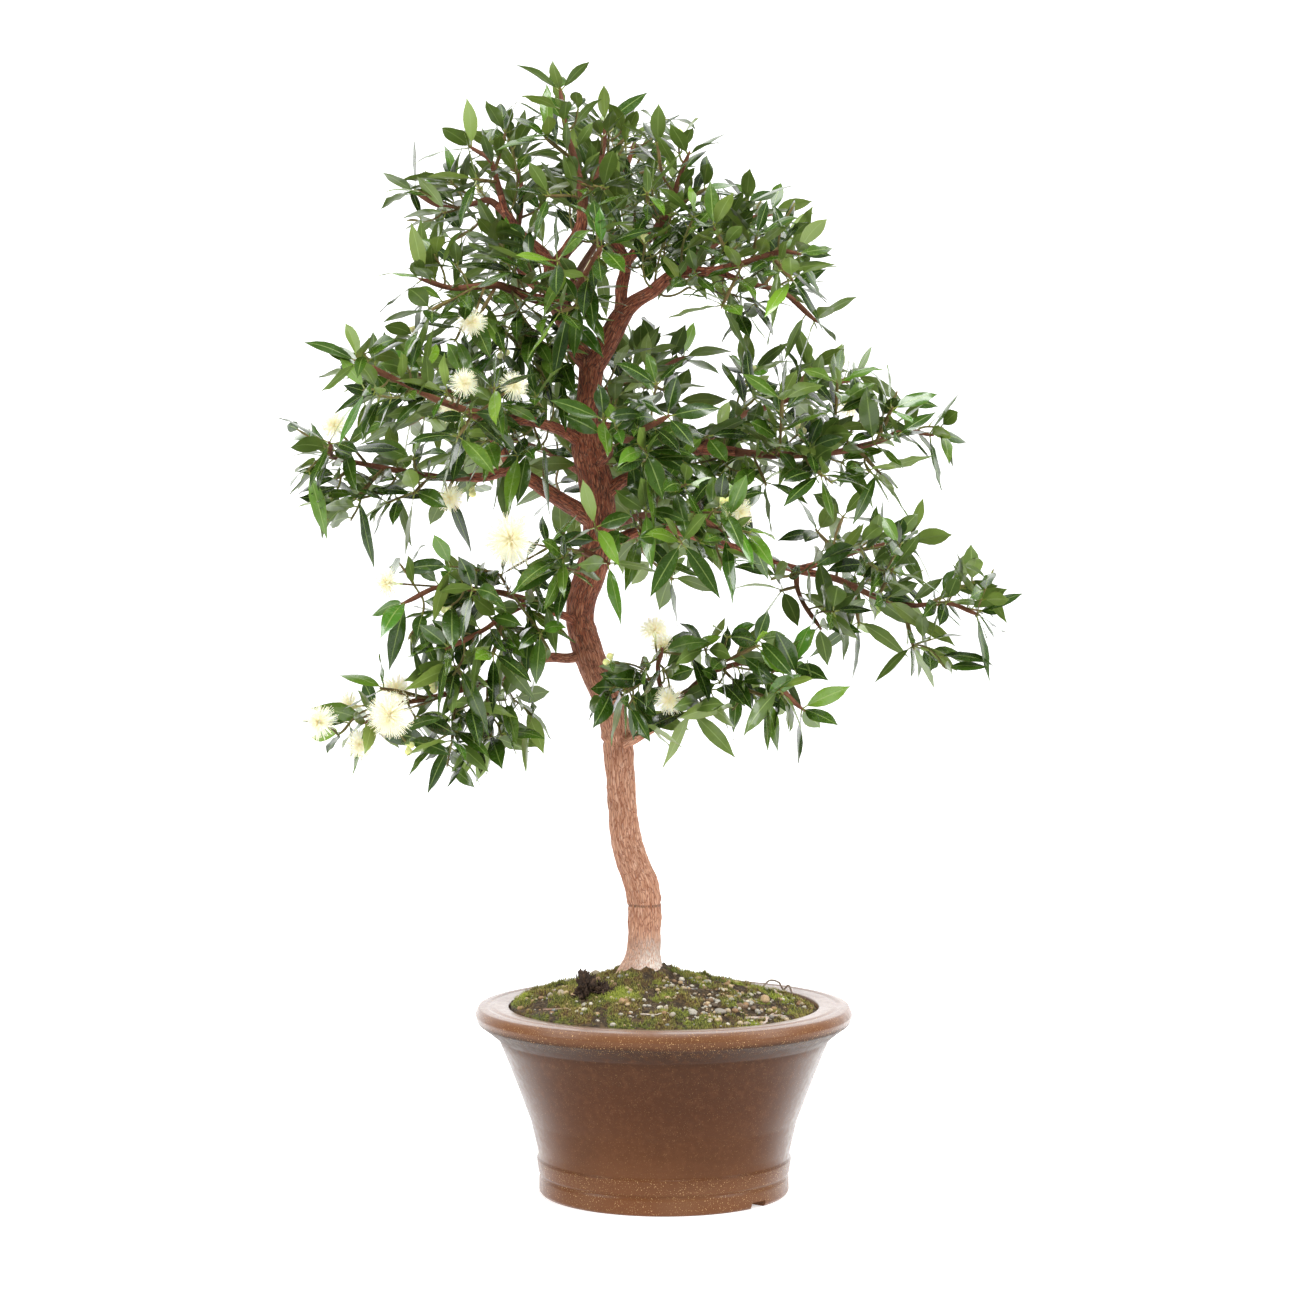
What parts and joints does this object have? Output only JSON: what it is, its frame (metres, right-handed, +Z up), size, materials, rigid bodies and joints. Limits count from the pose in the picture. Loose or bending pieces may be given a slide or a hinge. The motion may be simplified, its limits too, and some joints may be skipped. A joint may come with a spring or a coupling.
{
  "type": "brush cherry bonsai",
  "caption": "Brush cherry bonsai: a curved trunk with a full leafy crown and cream brush flowers, rooted in mossy soil in a round flared clay pot on a foot ring.",
  "frame": {"origin": "centre of the pot's foot, on the plane that it stands on", "axes": "+Z up along the pot's axis, +X to the right and +Y away from the viewer in the front view"},
  "size_m": [0.6435, 0.445, 0.9898],
  "materials": {
    "clay": "satin",
    "soil": "matte",
    "bark": "matte",
    "leaf": "gloss",
    "bloom": "matte"
  },
  "bodies": {
    "root": {"pot": "clay", "soil": "soil", "wood": "bark", "bloom_back_crown_1": "bloom", "bloom_back_left_1": "bloom", "bloom_front_1": "bloom", "bloom_left_front_1": "bloom", "bloom_left_front_2": "bloom", "bloom_left_high_1": "bloom", "bloom_left_low_1": "bloom", "bloom_left_low_2": "bloom", "bloom_left_low_3": "bloom", "bloom_left_main_1": "bloom", "bloom_left_main_2": "bloom", "bloom_left_mid_1": "bloom", "bloom_right_back_1": "bloom", "bloom_right_front_1": "bloom", "bloom_right_low_1": "bloom", "bloom_right_low_left_1": "bloom", "leaves_back_crown": "leaf", "leaves_back_left": "leaf", "leaves_back_low": "leaf", "leaves_back_right": "leaf", "leaves_centre_right": "leaf", "leaves_crown_back": "leaf", "leaves_crown_front": "leaf", "leaves_crown_left": "leaf", "leaves_crown_left_up": "leaf", "leaves_crown_mid": "leaf", "leaves_crown_mid_left": "leaf", "leaves_crown_right_back": "leaf", "leaves_front": "leaf", "leaves_leader": "leaf", "leaves_left_back": "leaf", "leaves_left_front": "leaf", "leaves_left_high": "leaf", "leaves_left_low": "leaf", "leaves_left_main": "leaf", "leaves_left_mid": "leaf", "leaves_left_mid_low": "leaf", "leaves_right_back": "leaf", "leaves_right_fork": "leaf", "leaves_right_fork_low": "leaf", "leaves_right_front": "leaf", "leaves_right_low": "leaf", "leaves_right_low_left": "leaf", "leaves_right_main": "leaf", "leaves_right_mid": "leaf", "leaves_right_mid_down": "leaf", "leaves_right_mid_up": "leaf", "leaves_right_thin": "leaf", "leaves_right_up": "leaf"}
  },
  "joints": []
}
